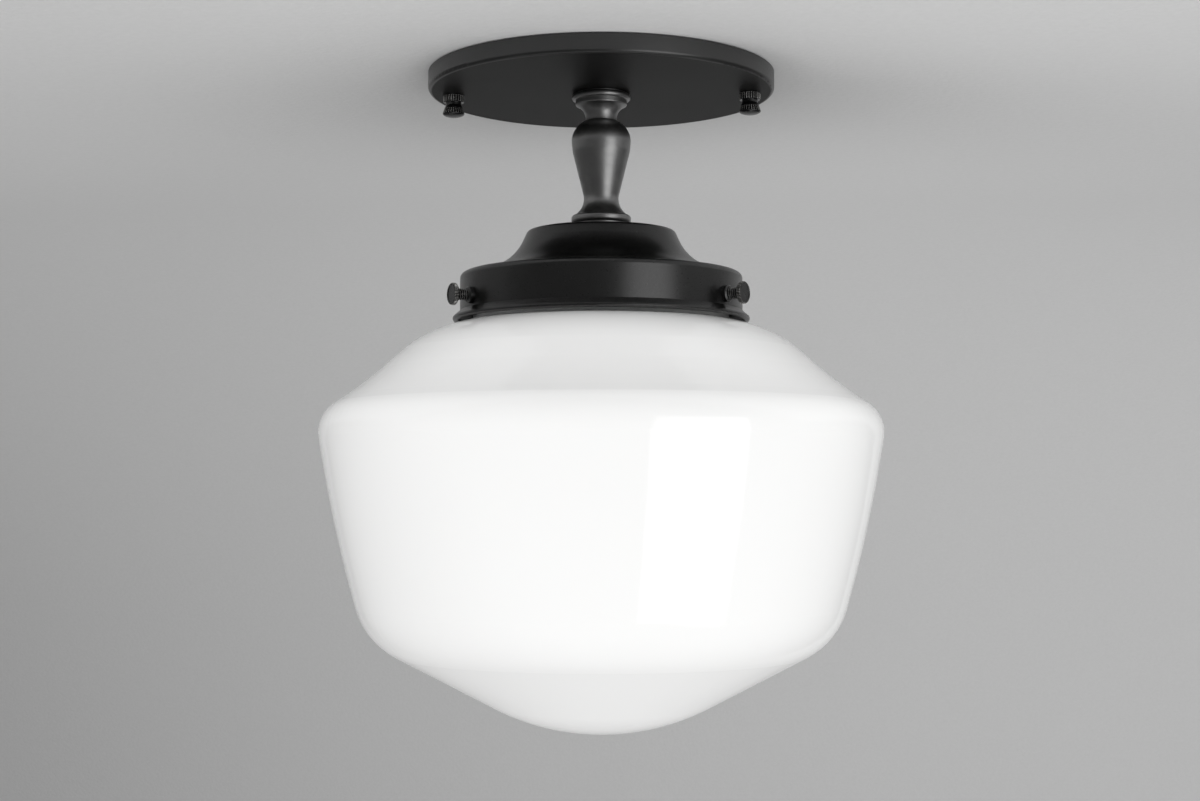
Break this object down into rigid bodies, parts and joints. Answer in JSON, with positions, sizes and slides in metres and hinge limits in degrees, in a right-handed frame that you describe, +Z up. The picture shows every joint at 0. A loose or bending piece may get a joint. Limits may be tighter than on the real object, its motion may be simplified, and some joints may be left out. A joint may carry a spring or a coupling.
{
  "type": "semi flush ceiling light",
  "caption": "Semi flush ceiling light: round canopy, turned stem, flared fitter with thumbscrews and a stepped schoolhouse glass shade over a lampholder and bulb.",
  "frame": {"origin": "on the stem's axis in the plane of the ceiling, at the centre of the crossbar's two slots", "axes": "+Z up into the ceiling along the stem's axis, +X along the crossbar and through the two canopy screws"},
  "size_m": [0.2044, 0.2044, 0.2401],
  "materials": {
    "black_finish": "satin black powder coat with a very fine texture",
    "black_screws": "blackened brass, knurled, semi gloss",
    "plated_steel": "zinc plated steel",
    "green_screw": "green dyed zinc plate",
    "porcelain": "opaque glazed white porcelain",
    "socket_brass": "plain brass sheet",
    "black_lead": "black PVC insulation",
    "white_lead": "white PVC insulation",
    "opal_glass": "opaque white opal glass, polished",
    "bulb_contact": "tinned contact",
    "bulb_insulator": "black insulator",
    "bulb_metal": "nickel plated thin metal",
    "bulb_plastic": "white moulded plastic",
    "bulb_frosted": "frosted diffuser"
  },
  "bodies": {
    "root": {"crossbar": "plated_steel", "canopy_screws": "plated_steel", "ground_screw": "green_screw", "canopy": "black_finish", "canopy_lock_washer": "plated_steel", "canopy_lock_nut": "plated_steel", "stem_pipe": "plated_steel", "stem_collar": "black_finish", "stem_vase": "black_finish", "fitter": "black_finish", "fitter_bosses": "black_finish", "fitter_lock_washer": "plated_steel", "fitter_lock_nut": "plated_steel", "socket_bushing": "plated_steel", "socket_bracket": "plated_steel", "bracket_screws": "plated_steel", "socket_body": "porcelain", "socket_shell": "socket_brass", "shell_rivets": "socket_brass", "socket_contact": "socket_brass", "contact_rivet": "socket_brass", "lead_black": "black_lead", "lead_white": "white_lead"},
    "screw_1": {"thumbscrew_1": "black_screws"},
    "screw_2": {"thumbscrew_2": "black_screws"},
    "screw_3": {"thumbscrew_3": "black_screws"},
    "nut_left": {"cap_nut_left": "black_screws"},
    "nut_right": {"cap_nut_right": "black_screws"},
    "glass": {"shade": "opal_glass"},
    "bulb": {"bulb_tip": "bulb_contact", "bulb_insulator": "bulb_insulator", "bulb_base": "bulb_metal", "bulb_housing": "bulb_plastic", "bulb_globe": "bulb_frosted"}
  },
  "joints": [
    {"name": "screw_1_out", "type": "slide", "parent": "root", "child": "screw_1", "axis": [0.866, -0.5, 0], "range_m": [0, 0.004]},
    {"name": "screw_2_out", "type": "slide", "parent": "root", "child": "screw_2", "axis": [0, 1, 0], "range_m": [0, 0.004]},
    {"name": "screw_3_out", "type": "slide", "parent": "root", "child": "screw_3", "axis": [-0.866, -0.5, 0], "range_m": [0, 0.004]},
    {"name": "nut_left_off", "type": "slide", "parent": "root", "child": "nut_left", "axis": [0, 0, -1], "range_m": [0, 0.012]},
    {"name": "nut_right_off", "type": "slide", "parent": "root", "child": "nut_right", "axis": [0, 0, -1], "range_m": [0, 0.012]},
    {"name": "shade_down", "type": "slide", "parent": "root", "child": "glass", "axis": [0, 0, -1], "range_m": [0, 0.15]},
    {"name": "bulb_out", "type": "slide", "parent": "root", "child": "bulb", "axis": [0, 0, -1], "range_m": [0, 0.025]}
  ]
}
